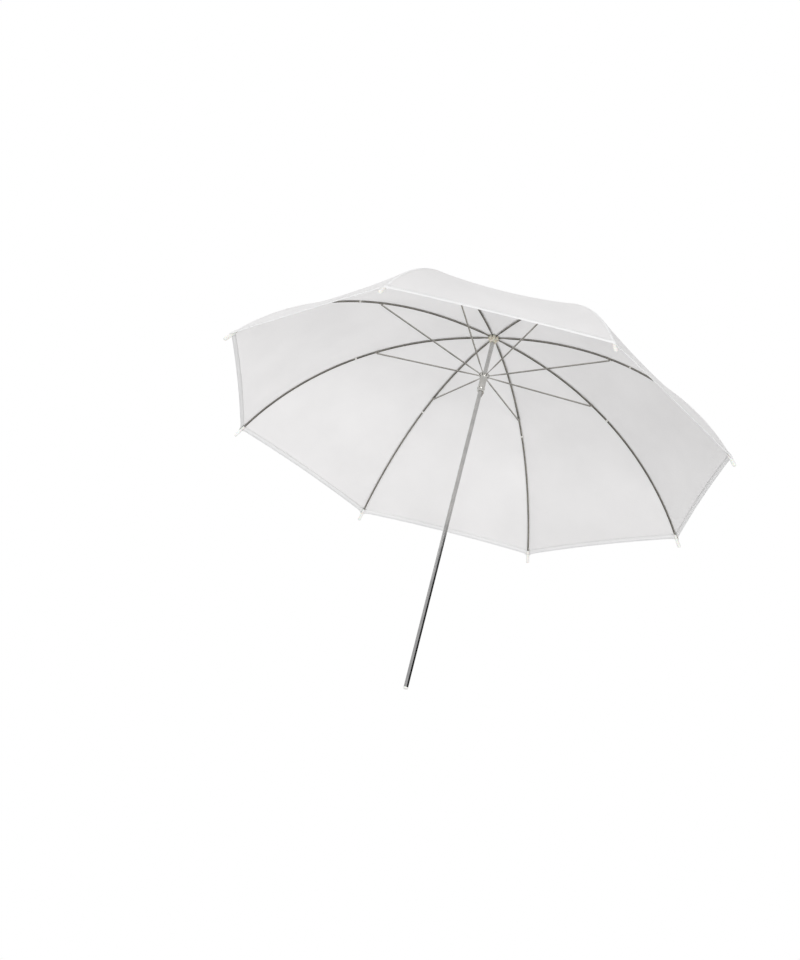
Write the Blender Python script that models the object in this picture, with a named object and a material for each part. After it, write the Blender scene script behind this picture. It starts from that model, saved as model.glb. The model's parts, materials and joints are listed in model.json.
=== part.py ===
"""A white photographic umbrella reflector, open.

Eight curved steel ribs hinge on a wire ring in the notch at the top of an 8 mm shaft. Eight
stretchers link them to a runner that slides on the shaft, and eight cloth gores hang over the ribs.
Metres, +Z up. The shaft stands on the Z axis with its lower end at the origin.
"""

import math

import bmesh
import bpy
from mathutils import Matrix, Vector

# Gaps
GAP = 0.0003  # between pieces that touch
PIN_CLEARANCE = 0.00015  # a pin in its hole, on the radius

PROUD = 0.00004  # how far a joined shape stands out past the one it is joined to

# Shaft
SHAFT_RADIUS = 0.004
SHAFT_WALL = 0.0006
PLUG_FLANGE = 0.0030  # thickness of the plug's flange, under the shaft's lower rim
STOP_PIN_RADIUS = 0.0010
NOTCH_HEIGHT = 0.730  # the ribs' hinge ring above the shaft's lower end
SHAFT_TOP_ABOVE_NOTCH = 0.0122

# Ribs
RIB_COUNT = 8
RIB_LENGTH = 0.550
RIB_CURVE_ROOT = 1.335  # curvature at the hinge, 1/m
RIB_CURVE_GROWTH = 1.674  # how much it grows along the rib, 1/m2
RIB_WIDTH = 0.0030
RIB_HEIGHT = 0.0024
RIB_WALL = 0.00045
RIB_HINGE_RADIUS = 0.008
RIB_FLAT_ROOT = 0.014
RIB_END_RADIUS = 0.0011  # the round end that the tip cap holds
RIB_STEPS_TO_JOINT = 6
RIB_STEPS_PAST_JOINT = 8

# Stretchers and runner
JOINT_ALONG_RIB = 0.236
JOINT_BELOW_RIB = RIB_HEIGHT / 2 + 0.0028  # the stretcher's pin below the rib's centre line
CLIP_PIN_RADIUS = 0.0007
RUNNER_BELOW_NOTCH = 0.0876
STRETCHER_WIDTH = 0.0026
STRETCHER_HEIGHT = 0.0022
STRETCHER_WALL = 0.0005
RUNNER_HINGE_RADIUS = 0.0095
RUNNER_WALL = 0.00245
RUNNER_RADIUS = SHAFT_RADIUS + GAP + RUNNER_WALL
RUNNER_DROP = 0.036  # from the runner's hinge level down to its lower rim
CROWN_RADIUS = RUNNER_HINGE_RADIUS + 0.0013
CROWN_HALF_HEIGHT = 0.0025
COLLAR_WALL = 0.00065
COLLAR_RADIUS = RUNNER_RADIUS + GAP + COLLAR_WALL
COLLAR_HEIGHT = 0.004
COLLAR_DROP = 0.0292  # from the runner's hinge level down to the collar's middle

# Eyes and wires
WIRE_RADIUS = 0.0005
RIB_EYE_RADIUS = RIB_HEIGHT / 2
STRETCHER_EYE_RADIUS = 0.0015
EYE_THICKNESS = 0.0012
SLOT_WIDTH = EYE_THICKNESS + 2 * GAP + 0.0001

# Cloth
CLOTH_THICKNESS = 0.00045
CLOTH_OFFSET = RIB_HEIGHT / 2 + GAP  # from the rib's centre line to the cloth, at the hinge
CLOTH_START = 0.0012
GORE_SAG = 0.008  # how far the cloth hangs in from a straight line between two ribs
GORE_STEPS_ACROSS = 4

# Washer and ferrule over the cloth
WASHER_RADIUS = 0.0130
WASHER_THICKNESS = 0.0008
FERRULE_RADIUS = 0.0095

# Tips and catch
TIP_LENGTH = 0.027
TIP_RADIUS = 0.0033
CATCH_REACH = RUNNER_RADIUS + 0.00085
CATCH_HEIGHT = 0.012
CATCH_THICKNESS = 0.0012
CATCH_AZIMUTH = math.radians(202.5)


def clear_scene():
    for old in list(bpy.data.objects):
        bpy.data.objects.remove(old, do_unlink=True)


def make_material(name, colour, roughness, metallic):
    material = bpy.data.materials.new(name)
    material.use_nodes = True
    shader = material.node_tree.nodes["Principled BSDF"]
    shader.inputs["Base Color"].default_value = (*colour, 1.0)
    shader.inputs["Roughness"].default_value = roughness
    shader.inputs["Metallic"].default_value = metallic
    return material


def make_object(name, mesh, material, location=(0, 0, 0), azimuth=0.0, parent=None):
    """An object with this mesh, turned about Z by the azimuth, and placed in the world."""
    made = bpy.data.objects.new(name, mesh)
    bpy.context.scene.collection.objects.link(made)
    placed = Matrix.Translation(location) @ Matrix.Rotation(azimuth, 4, "Z")
    if parent is None:
        made.matrix_world = placed
    else:
        made.parent = parent
        made.matrix_local = parent.matrix_world.inverted() @ placed
    if not mesh.materials:
        mesh.materials.append(material)
    return made


def make_joint(name, location, azimuth):
    """An empty on a joint's axis, which carries the pieces that move with it."""
    joint = bpy.data.objects.new(name, None)
    joint.empty_display_size = 0.01
    joint.matrix_world = Matrix.Translation(location) @ Matrix.Rotation(azimuth, 4, "Z")
    bpy.context.scene.collection.objects.link(joint)
    return joint


def finish_mesh(bm, name, smooth_angle=None):
    bmesh.ops.recalc_face_normals(bm, faces=bm.faces)
    mesh = bpy.data.meshes.new(name)
    bm.to_mesh(mesh)
    bm.free()
    if smooth_angle is not None:
        mesh.shade_smooth()
        mesh.set_sharp_from_angle(angle=smooth_angle)
    return mesh


def turned_mesh(name, profile, steps):
    """A turned solid from a closed outline of (radius, height) points, spun once round Z."""
    bm = bmesh.new()
    columns = []
    for radius, height in profile:
        if radius < 1e-9:
            columns.append([bm.verts.new((0.0, 0.0, height))] * steps)
            continue
        ring = []
        for i in range(steps):
            turn = 2 * math.pi * i / steps
            ring.append(bm.verts.new((radius * math.cos(turn), radius * math.sin(turn), height)))
        columns.append(ring)
    for one, two in zip(columns, columns[1:] + columns[:1]):
        for i in range(steps):
            j = (i + 1) % steps
            corners = []
            for vert in (one[i], one[j], two[j], two[i]):
                if vert not in corners:
                    corners.append(vert)
            if len(corners) > 2:
                bm.faces.new(corners)
    return finish_mesh(bm, name, math.radians(35))


def swept_mesh(name, sections, smooth_angle=None):
    """A closed solid that joins a row of outlines with the same number of points."""
    bm = bmesh.new()
    rings = [[bm.verts.new(point) for point in section] for section in sections]
    count = len(rings[0])
    for one, two in zip(rings, rings[1:]):
        for i in range(count):
            j = (i + 1) % count
            bm.faces.new((one[i], one[j], two[j], two[i]))
    bm.faces.new(rings[0])
    bm.faces.new(list(reversed(rings[-1])))
    return finish_mesh(bm, name, smooth_angle)


def box_mesh(name, low, high):
    bm = bmesh.new()
    bmesh.ops.create_cube(bm, size=1.0)
    for vert in bm.verts:
        for axis in range(3):
            vert.co[axis] = low[axis] if vert.co[axis] < 0 else high[axis]
    return finish_mesh(bm, name)


def rod_mesh(name, radius, start, end, steps=16):
    """A straight round rod between two points."""
    start, end = Vector(start), Vector(end)
    bm = bmesh.new()
    bmesh.ops.create_cone(
        bm,
        cap_ends=True,
        segments=steps,
        radius1=radius,
        radius2=radius,
        depth=(end - start).length,
    )
    turn = (end - start).to_track_quat("Z", "Y").to_matrix().to_4x4()
    bmesh.ops.transform(bm, matrix=Matrix.Translation((start + end) / 2) @ turn, verts=bm.verts)
    return finish_mesh(bm, name)


def combined_mesh(name, base, joined=(), cut=()):
    """One mesh from a base with others joined to it and then cut from it."""
    body = bpy.data.objects.new(name + "_work", base)
    bpy.context.scene.collection.objects.link(body)
    helpers = [body]
    for operation, meshes in (("UNION", joined), ("DIFFERENCE", cut)):
        for i, mesh in enumerate(meshes):
            helper = bpy.data.objects.new(f"{name}_{operation.lower()}_{i}", mesh)
            bpy.context.scene.collection.objects.link(helper)
            helpers.append(helper)
            modifier = body.modifiers.new(helper.name, "BOOLEAN")
            modifier.operation = operation
            modifier.solver = "EXACT"
            modifier.object = helper
    bpy.context.view_layer.update()
    graph = bpy.context.evaluated_depsgraph_get()
    mesh = bpy.data.meshes.new_from_object(body.evaluated_get(graph))
    mesh.name = name
    mesh.shade_smooth()
    mesh.set_sharp_from_angle(angle=math.radians(35))
    for helper in helpers:
        bpy.data.objects.remove(helper, do_unlink=True)
    return mesh


def rib_slope(s):
    """How steeply the rib falls at the distance s along it, in radians."""
    return RIB_CURVE_ROOT * s + RIB_CURVE_GROWTH * s * s / 2


def rib_point(s, offset=0.0):
    """The rib's centre line at the distance s from its hinge, moved out along its normal."""
    out, down, steps = 0.0, 0.0, 64
    for i in range(steps):
        slope = rib_slope(s * (i + 0.5) / steps)
        out += math.cos(slope) * s / steps
        down += math.sin(slope) * s / steps
    slope = rib_slope(s)
    return Vector((out + offset * math.sin(slope), 0.0, offset * math.cos(slope) - down))


def rib_stations():
    """Where the rib's channel has its sections. The cloth bends at the same places."""
    stations = []
    span = JOINT_ALONG_RIB - RIB_FLAT_ROOT
    for i in range(RIB_STEPS_TO_JOINT):
        stations.append(RIB_FLAT_ROOT + span * i / RIB_STEPS_TO_JOINT)
    span = RIB_LENGTH - JOINT_ALONG_RIB
    for i in range(RIB_STEPS_PAST_JOINT + 1):
        stations.append(JOINT_ALONG_RIB + span * i / RIB_STEPS_PAST_JOINT)
    return stations


def channel_outline(width, height, wall):
    """A U section as (sideways, up) points, open below."""
    w, h = width / 2, height / 2
    return [(-w, -h), (-w, h), (w, h), (w, -h), (w - wall, -h), (w - wall, h - wall),
            (wall - w, h - wall), (wall - w, -h)]


def rib_section(s, outline):
    slope = rib_slope(s)
    normal = Vector((math.sin(slope), 0.0, math.cos(slope)))
    middle = rib_point(s)
    return [middle + Vector((0.0, side, 0.0)) + normal * up for side, up in outline]


def make_rib_mesh():
    """A U channel, with a flattened root, an eye round the hinge ring and a round end."""
    overlap = 0.004
    outline = channel_outline(RIB_WIDTH, RIB_HEIGHT, RIB_WALL)
    sections = [rib_section(s, outline) for s in rib_stations()]
    channel = swept_mesh("rib", sections, math.radians(35))
    t, h = EYE_THICKNESS / 2, RIB_HEIGHT / 2 - RIB_WALL / 3
    flat = [(-t, -h), (-t, h), (t, h), (t, -h)]
    plate = swept_mesh("rib_plate", [rib_section(s, flat) for s in (0.0, RIB_FLAT_ROOT + overlap)])
    t += PROUD
    eye = rod_mesh("rib_eye", RIB_EYE_RADIUS, (0, -t, 0), (0, t, 0), 12)
    slope = rib_slope(RIB_LENGTH)
    along = Vector((math.cos(slope), 0.0, -math.sin(slope)))
    end = rib_point(RIB_LENGTH)
    ball = rod_mesh("rib_ball", RIB_END_RADIUS, end - along * 0.004, end + along * 0.006, 8)
    hole = rod_mesh("rib_hole", WIRE_RADIUS + PIN_CLEARANCE, (0, -0.002, 0), (0, 0.002, 0), 8)
    return combined_mesh("rib", channel, (plate, eye, ball), (hole,))


def make_tip_mesh():
    """A white cap that the rib's round end sits in, turned about the rib's last direction."""
    start, socket = 0.0006, 0.0075
    r, length = TIP_RADIUS, TIP_LENGTH
    bore = RIB_END_RADIUS + GAP
    profile = [
        (bore, start), (r * 0.72, start), (r * 0.80, start + 0.0015), (r * 0.86, start + 0.009),
        (r, start + 0.016), (r, length - 0.0022), (r * 0.72, length - 0.0005),
        (0.0, length), (0.0, start + socket), (bore, start + socket),
    ]
    mesh = turned_mesh("tip", profile, 10)
    slope = rib_slope(RIB_LENGTH)
    along = Vector((math.cos(slope), 0.0, -math.sin(slope)))
    turn = along.to_track_quat("Z", "Y").to_matrix().to_4x4()
    mesh.transform(Matrix.Translation(rib_point(RIB_LENGTH)) @ turn)
    return mesh


def joint_centre():
    """The stretcher's hinge, just inside the rib, from the rib's own hinge."""
    return rib_point(JOINT_ALONG_RIB, -JOINT_BELOW_RIB)


def make_clip_mesh():
    """A saddle under the rib, with an ear and a pin that the stretcher turns on."""
    slope = rib_slope(JOINT_ALONG_RIB)
    inner = RIB_WIDTH / 2 + GAP
    outer = inner + 0.0005
    seat, foot = -RIB_HEIGHT / 2 - GAP, -RIB_HEIGHT / 2 - GAP - 0.0005
    cheek = RIB_HEIGHT / 2 - 0.0003
    outline = [(-outer, foot), (-outer, cheek), (-inner, cheek), (-inner, seat),
               (inner, seat), (inner, cheek), (outer, cheek), (outer, foot)]
    half = 0.004
    ends = []
    for x in (-half, half):
        ends.append([Vector((x, side, up + JOINT_BELOW_RIB)) for side, up in outline])
    saddle = swept_mesh("clip", ends)
    ear_half = STRETCHER_WIDTH / 2 - STRETCHER_WALL - GAP
    ear_out = ear_half + PROUD
    ear = rod_mesh("clip_ear", STRETCHER_EYE_RADIUS, (0, -ear_out, 0), (0, ear_out, 0), 10)
    neck_top = JOINT_BELOW_RIB + foot + 0.0002
    neck = box_mesh("clip_neck", (-0.0012, -ear_half, 0.0), (0.0012, ear_half, neck_top))
    pin_half = STRETCHER_WIDTH / 2 + 0.0005
    pin = rod_mesh("clip_pin", CLIP_PIN_RADIUS, (0, -pin_half, 0), (0, pin_half, 0), 8)
    mesh = combined_mesh("clip", saddle, (ear, neck, pin))
    mesh.transform(Matrix.Translation(joint_centre()) @ Matrix.Rotation(slope, 4, "Y"))
    return mesh


def stretcher_span():
    """From the hinge under the rib to the hinge in the runner, in the rib's upright plane."""
    start = Vector((RIB_HINGE_RADIUS, 0.0, 0.0)) + joint_centre()
    return Vector((RUNNER_HINGE_RADIUS, 0.0, -RUNNER_BELOW_NOTCH)) - start


def make_stretcher_mesh():
    """A straight U channel, forked at the rib and flattened into an eye at the runner."""
    span = stretcher_span()
    length = span.length
    fork, flat = 0.006, 0.016
    w, h, wall = STRETCHER_WIDTH / 2, STRETCHER_HEIGHT / 2, STRETCHER_WALL
    outline = [(-side, -up) for side, up in channel_outline(2 * w, 2 * h, wall)]
    ends = []
    for x in (0.0, length - flat):
        ends.append([Vector((x, side, up)) for side, up in outline])
    channel = swept_mesh("stretcher", ends)
    joined = []
    for sign in (-1, 1):
        low, high = sorted((sign * (w + PROUD), sign * (w - wall - PROUD)))
        joined.append(rod_mesh("round", STRETCHER_EYE_RADIUS, (0, low, 0), (0, high, 0), 10))
    t = EYE_THICKNESS / 2
    plate_low = (length - flat - 0.005, -t, -h + wall / 2)
    joined.append(box_mesh("plate", plate_low, (length, t, h * 0.8)))
    t += PROUD
    joined.append(rod_mesh("eye", STRETCHER_EYE_RADIUS, (length, -t, 0), (length, t, 0), 12))
    pin_hole = CLIP_PIN_RADIUS + PIN_CLEARANCE
    cut = [rod_mesh("pin_hole", pin_hole, (0, -0.004, 0), (0, 0.004, 0), 8)]
    web = w - wall + PROUD
    cut.append(box_mesh("web", (-0.004, -web, -h - 0.001), (fork, web, -h + wall + PROUD)))
    eye_hole = WIRE_RADIUS + PIN_CLEARANCE
    cut.append(rod_mesh("eye_hole", eye_hole, (length, -0.004, 0), (length, 0.004, 0), 8))
    mesh = combined_mesh("stretcher", channel, joined, cut)
    # The channel runs along +X, and the turn about Y lays it along the span
    mesh.transform(Matrix.Rotation(math.pi - math.atan2(-span.z, -span.x), 4, "Y"))
    return mesh


def cloth_offset(s):
    """How far the cloth lies outside the rib's centre line. It clears the channel's corners."""
    corner = RIB_WIDTH / 2 * math.tan(math.pi / RIB_COUNT)
    return CLOTH_OFFSET + corner * math.sin(rib_slope(s))


def gore_sag(s, v):
    """How far the cloth hangs in, at the share v of the way between two ribs. Its hem is straight."""
    along = s / RIB_LENGTH
    deepest = 4 / 27  # of along * along * (1 - along)
    return GORE_SAG * 4 * v * (1 - v) * along * along * (1 - along) / deepest


def make_gore_mesh():
    """The cloth between two ribs, curved along them and hollow between them, as stretched cloth is."""
    inner, outer = [], []
    turn = Matrix.Rotation(2 * math.pi / RIB_COUNT, 4, "Z")
    half_turn = Matrix.Rotation(math.pi / RIB_COUNT, 4, "Z")
    hinge = Vector((RIB_HINGE_RADIUS, 0.0, 0.0))
    stations = [CLOTH_START] + rib_stations()
    bm = bmesh.new()
    for extra, rows in ((0.0, inner), (CLOTH_THICKNESS, outer)):
        for s in stations:
            one = rib_point(s, cloth_offset(s) + extra) + hinge
            two = turn @ one
            edge = GAP / 2 / (two - one).length
            slope = rib_slope(s)
            inward = half_turn @ Vector((-math.sin(slope), 0.0, -math.cos(slope)))
            row = []
            for j in range(GORE_STEPS_ACROSS + 1):
                v = edge + (1 - 2 * edge) * j / GORE_STEPS_ACROSS
                point = one.lerp(two, v) + inward * gore_sag(s, j / GORE_STEPS_ACROSS)
                row.append(bm.verts.new(point - hinge))
            rows.append(row)
    for rows in (inner, outer):
        for one, two in zip(rows, rows[1:]):
            for j in range(GORE_STEPS_ACROSS):
                bm.faces.new((one[j], one[j + 1], two[j + 1], two[j]))
    for j in range(GORE_STEPS_ACROSS):
        for i in (0, -1):
            bm.faces.new((inner[i][j], inner[i][j + 1], outer[i][j + 1], outer[i][j]))
    for i in range(len(stations) - 1):
        for j in (0, -1):
            bm.faces.new((inner[i][j], inner[i + 1][j], outer[i + 1][j], outer[i][j]))
    return finish_mesh(bm, "gore", math.radians(35))


def slot_cutters(name, radius_in, radius_out, low, high):
    """Eight radial slots for the eyes, as boxes."""
    cutters = []
    for k in range(RIB_COUNT):
        half = SLOT_WIDTH / 2
        box = box_mesh(f"{name}_{k}", (radius_in, -half, low), (radius_out, half, high))
        box.transform(Matrix.Rotation(2 * math.pi * k / RIB_COUNT, 4, "Z"))
        cutters.append(box)
    return cutters


clear_scene()
STEEL = make_material("steel", (0.42, 0.42, 0.43), 0.35, 1.0)
DARK_STEEL = make_material("dark_steel", (0.10, 0.095, 0.09), 0.45, 0.8)
RUNNER_METAL = make_material("runner_metal", (0.62, 0.62, 0.63), 0.25, 1.0)
WHITE_PLASTIC = make_material("white_plastic", (0.84, 0.83, 0.79), 0.45, 0.0)
CLOTH = make_material("cloth", (0.80, 0.80, 0.81), 0.85, 0.0)

# Shaft: a thin tube with a slot for the catch, two holes for the stop pin and a plug in its end
shaft_inner = SHAFT_RADIUS - SHAFT_WALL
shaft_low = PLUG_FLANGE + GAP
shaft_high = NOTCH_HEIGHT + SHAFT_TOP_ABOVE_NOTCH
runner_z = NOTCH_HEIGHT - RUNNER_BELOW_NOTCH
catch_top = runner_z - RUNNER_DROP - 0.0005
stop_z = runner_z + CROWN_HALF_HEIGHT + GAP + STOP_PIN_RADIUS
tube_profile = [
    (SHAFT_RADIUS, shaft_low),
    (SHAFT_RADIUS, shaft_high),
    (shaft_inner, shaft_high),
    (shaft_inner, shaft_low),
]
catch_half = CATCH_THICKNESS / 2
catch_slot = box_mesh(
    "catch_slot",
    (0.0005, -catch_half - GAP, catch_top - CATCH_HEIGHT - GAP),
    (SHAFT_RADIUS + 0.002, catch_half + GAP, catch_top + GAP),
)
catch_slot.transform(Matrix.Rotation(CATCH_AZIMUTH, 4, "Z"))
across = Vector((math.cos(CATCH_AZIMUTH), math.sin(CATCH_AZIMUTH), 0.0))
up = Vector((0.0, 0.0, stop_z))
hole_reach = across * (SHAFT_RADIUS + 0.002)
stop_hole = rod_mesh("stop_hole", STOP_PIN_RADIUS + GAP, up - hole_reach, up + hole_reach)
tube = combined_mesh("tube", turned_mesh("tube", tube_profile, 24), (), (catch_slot, stop_hole))
make_object("shaft_tube", tube, STEEL)
pin_reach = across * (SHAFT_RADIUS + 0.0015)
stop_pin = rod_mesh("stop_pin", STOP_PIN_RADIUS, up - pin_reach, up + pin_reach, 12)
make_object("stop_pin", stop_pin, STEEL)

flange, spigot, spigot_top = SHAFT_RADIUS + 0.0003, shaft_inner - GAP, 0.0126
plug_profile = [
    (0.0, 0.0), (flange - 0.0007, 0.0), (flange, 0.0006), (flange, PLUG_FLANGE),
    (spigot, PLUG_FLANGE), (spigot, spigot_top - 0.0006), (spigot - 0.0006, spigot_top),
    (0.0, spigot_top),
]
make_object("shaft_end_plug", turned_mesh("plug", plug_profile, 24), WHITE_PLASTIC)

# Notch: a slotted plastic spool that holds the ribs' hinge wire
notch_bore = SHAFT_RADIUS + GAP
notch_stem = SHAFT_RADIUS + 0.0026
notch_rim = RIB_HINGE_RADIUS + 0.0024
notch_profile = [
    (notch_bore, -0.0110), (notch_stem - 0.0004, -0.0110), (notch_stem, -0.0100),
    (notch_stem, -0.0060), (notch_rim - 0.0006, -0.0052), (notch_rim, -0.0044),
    (notch_rim, 0.0006), (notch_rim - 0.0006, RIB_HEIGHT / 2), (notch_bore, RIB_HEIGHT / 2),
]
groove_half = WIRE_RADIUS + GAP
groove_profile = [
    (RIB_HINGE_RADIUS - groove_half, -groove_half),
    (RIB_HINGE_RADIUS + groove_half, -groove_half),
    (RIB_HINGE_RADIUS + groove_half, 0.003),
    (RIB_HINGE_RADIUS - groove_half, 0.003),
]
slot_bottom = SHAFT_RADIUS + 0.0018
notch_cuts = slot_cutters("notch_slot", slot_bottom, notch_rim + 0.0026, -0.007, 0.004)
notch_cuts.append(turned_mesh("notch_groove", groove_profile, 32))
notch = combined_mesh("notch", turned_mesh("notch", notch_profile, 32), (), notch_cuts)
make_object("notch", notch, WHITE_PLASTIC, (0, 0, NOTCH_HEIGHT))

ring_profile = []
for i in range(8):
    turn = 2 * math.pi * (i + 0.5) / 8
    ring_profile.append(
        (RIB_HINGE_RADIUS + WIRE_RADIUS * math.cos(turn), WIRE_RADIUS * math.sin(turn))
    )
make_object("notch_wire", turned_mesh("ring", ring_profile, 32), STEEL, (0, 0, NOTCH_HEIGHT))

# Canopy centre, washer and ferrule, stacked on the notch
cloth_low = CLOTH_OFFSET
cloth_high = CLOTH_OFFSET + CLOTH_THICKNESS
centre_out = (RIB_HINGE_RADIUS + CLOTH_START) * math.cos(math.pi / RIB_COUNT) - GAP
washer_low = cloth_high + GAP
washer_high = washer_low + WASHER_THICKNESS
ferrule_low = washer_high + GAP
for name, radius, low, high, material in (
    ("canopy_centre", centre_out, cloth_low, cloth_high, CLOTH),
    ("canopy_washer", WASHER_RADIUS, washer_low, washer_high, WHITE_PLASTIC),
):
    profile = [(notch_bore, low), (radius, low), (radius, high), (notch_bore, high)]
    make_object(name, turned_mesh(name, profile, 32), material, (0, 0, NOTCH_HEIGHT))
ferrule_roof = SHAFT_TOP_ABOVE_NOTCH + GAP
ferrule_neck = SHAFT_RADIUS + 0.0016
ferrule_profile = [
    (notch_bore, ferrule_low), (FERRULE_RADIUS - 0.0005, ferrule_low),
    (FERRULE_RADIUS, ferrule_low + 0.0010), (FERRULE_RADIUS - 0.0009, ferrule_low + 0.0028),
    (ferrule_neck + 0.0005, ferrule_low + 0.0050), (ferrule_neck, ferrule_roof),
    (ferrule_neck - 0.0008, ferrule_roof + 0.0035), (ferrule_neck - 0.0028, ferrule_roof + 0.0054),
    (0.0, ferrule_roof + 0.0060), (0.0, ferrule_roof), (notch_bore, ferrule_roof),
]
ferrule = turned_mesh("ferrule", ferrule_profile, 24)
make_object("ferrule", ferrule, WHITE_PLASTIC, (0, 0, NOTCH_HEIGHT))

# Catch: a sloped plate that stands out of the shaft under the runner and presses in
catch_joint = make_joint("catch_joint", (0, 0, catch_top), CATCH_AZIMUTH)
catch_outline = [
    (0.0010, 0.0), (CATCH_REACH, 0.0), (CATCH_REACH, -0.0012),
    (SHAFT_RADIUS + 0.0001, -CATCH_HEIGHT), (0.0010, -CATCH_HEIGHT),
]
catch_sides = []
for side in (-catch_half, catch_half):
    catch_sides.append([Vector((r, side, z)) for r, z in catch_outline])
catch = swept_mesh("catch", catch_sides)
make_object("top_catch", catch, STEEL, (0, 0, catch_top), CATCH_AZIMUTH, catch_joint)

# Runner: a tube with a slotted crown at its top, and a collar near its lower rim
runner_joint = make_joint("runner_joint", (0, 0, runner_z), 0.0)
crown = CROWN_HALF_HEIGHT
runner_profile = [
    (notch_bore, -RUNNER_DROP), (RUNNER_RADIUS - 0.0005, -RUNNER_DROP),
    (RUNNER_RADIUS, -RUNNER_DROP + 0.0005), (RUNNER_RADIUS, -crown),
    (CROWN_RADIUS - 0.0006, -crown), (CROWN_RADIUS, -crown + 0.0006),
    (CROWN_RADIUS, crown - 0.0006), (CROWN_RADIUS - 0.0006, crown), (notch_bore, crown),
]
slot_bottom = RUNNER_RADIUS + 0.0002
runner_cuts = slot_cutters("runner_slot", slot_bottom, CROWN_RADIUS + 0.0022, -0.005, 0.005)
look = Vector((math.cos(math.radians(112.5)), math.sin(math.radians(112.5)), 0.0))
hole_z = Vector((0.0, 0.0, -RUNNER_DROP + 0.0026))
hole_ends = (hole_z + look * (SHAFT_RADIUS - 0.001), hole_z + look * (RUNNER_RADIUS + 0.002))
runner_cuts.append(rod_mesh("runner_hole", 0.0011, *hole_ends, 12))
runner = combined_mesh("runner", turned_mesh("runner", runner_profile, 32), (), runner_cuts)
make_object("runner", runner, RUNNER_METAL, (0, 0, runner_z), 0.0, runner_joint)
collar_in, collar_edge = RUNNER_RADIUS + GAP, COLLAR_RADIUS - 0.0005
collar_low, collar_high = -COLLAR_DROP - COLLAR_HEIGHT / 2, -COLLAR_DROP + COLLAR_HEIGHT / 2
collar_profile = [
    (collar_in, collar_low), (collar_edge, collar_low), (COLLAR_RADIUS, collar_low + 0.0007),
    (COLLAR_RADIUS, collar_high - 0.0007), (collar_edge, collar_high), (collar_in, collar_high),
]
collar = turned_mesh("collar", collar_profile, 32)
make_object("runner_collar", collar, RUNNER_METAL, (0, 0, runner_z), 0.0, runner_joint)

# Ribs, tips, clips, gores and stretchers, eight of each
rib_mesh = make_rib_mesh()
tip_mesh = make_tip_mesh()
clip_mesh = make_clip_mesh()
gore_mesh = make_gore_mesh()
stretcher_mesh = make_stretcher_mesh()
for k in range(RIB_COUNT):
    azimuth = 2 * math.pi * k / RIB_COUNT
    turn = Matrix.Rotation(azimuth, 4, "Z")
    hinge = turn @ Vector((RIB_HINGE_RADIUS, 0.0, NOTCH_HEIGHT))
    rib_joint = make_joint(f"rib_joint_{k + 1}", hinge, azimuth)
    for name, mesh, material in (
        ("rib", rib_mesh, DARK_STEEL),
        ("rib_tip", tip_mesh, WHITE_PLASTIC),
        ("rib_clip", clip_mesh, DARK_STEEL),
        ("gore", gore_mesh, CLOTH),
    ):
        make_object(f"{name}_{k + 1}", mesh, material, hinge, azimuth, rib_joint)
    elbow = hinge + turn @ joint_centre()
    stretcher_joint = make_joint(f"stretcher_joint_{k + 1}", elbow, azimuth)
    make_object(
        f"stretcher_{k + 1}", stretcher_mesh, STEEL, elbow, azimuth, stretcher_joint
    )
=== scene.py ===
"""A white photographic umbrella reflector, open, finished round its working frame.

It goes together as the real one does: the shaft and its fittings, the ribs and stretchers, the
runner, and then the cloth with its seams, hem and tip caps. Metres, +Z up, as in the frame.
"""

import json
import math

import bmesh
import bpy
from mathutils import Matrix, Vector


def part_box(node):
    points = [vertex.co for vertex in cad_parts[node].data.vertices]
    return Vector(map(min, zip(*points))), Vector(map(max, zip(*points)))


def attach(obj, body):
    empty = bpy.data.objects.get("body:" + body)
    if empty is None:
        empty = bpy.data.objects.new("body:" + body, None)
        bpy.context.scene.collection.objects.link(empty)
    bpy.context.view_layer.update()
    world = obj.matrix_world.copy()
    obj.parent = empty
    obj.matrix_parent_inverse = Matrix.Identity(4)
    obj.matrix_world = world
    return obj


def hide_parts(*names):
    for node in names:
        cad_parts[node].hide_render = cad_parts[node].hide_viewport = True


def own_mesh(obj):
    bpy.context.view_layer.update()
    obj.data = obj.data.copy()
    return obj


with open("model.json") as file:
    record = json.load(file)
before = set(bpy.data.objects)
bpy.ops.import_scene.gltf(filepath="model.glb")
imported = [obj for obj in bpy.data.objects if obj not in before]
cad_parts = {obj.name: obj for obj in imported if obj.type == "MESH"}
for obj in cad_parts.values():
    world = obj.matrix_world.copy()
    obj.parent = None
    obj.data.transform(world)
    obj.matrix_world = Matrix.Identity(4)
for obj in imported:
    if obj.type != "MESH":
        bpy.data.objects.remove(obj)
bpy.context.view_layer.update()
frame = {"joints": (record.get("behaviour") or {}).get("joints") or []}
joints = {joint["name"]: joint for joint in frame["joints"]}

# Studio: the umbrella hangs over a pale floor in even white light, with one dark flag at the side
# that gives the plated metal its black streak. The camera is low and looks up into the canopy.

CAMERA_PLACE = (-0.8628, 2.0728, -0.6538)
CAMERA_TURN = (115.567, -13.817, -161.261)  # degrees
CAMERA_LENS = 50.08
FLOOR_HEIGHT = -1.25
LIGHTS_AIM = Vector((0, 0, 0.55))
ROOM_LIGHT = (0.824, 0.823, 0.827, 1)
MIRRORED_ROOM = (0.56, 0.56, 0.57, 1)
DARK_FLAG = (0.012, 0.012, 0.012, 1)


def colour(code):
    """A linear colour from an sRGB hex code."""
    found = []
    for start in (1, 3, 5):
        part = int(code[start:start + 2], 16) / 255
        found.append(part / 12.92 if part <= 0.04045 else ((part + 0.055) / 1.055) ** 2.4)
    return (*found, 1.0)


def add_node(tree, kind, inputs=None, **settings):
    """Adds a node with its settings, and gives each input a value or a link."""
    made = tree.nodes.new(kind)
    for name, value in settings.items():
        setattr(made, name, value)
    for name, value in (inputs or {}).items():
        if isinstance(value, bpy.types.NodeSocket):
            tree.links.new(value, made.inputs[name])
        else:
            made.inputs[name].default_value = value
    return made


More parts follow.
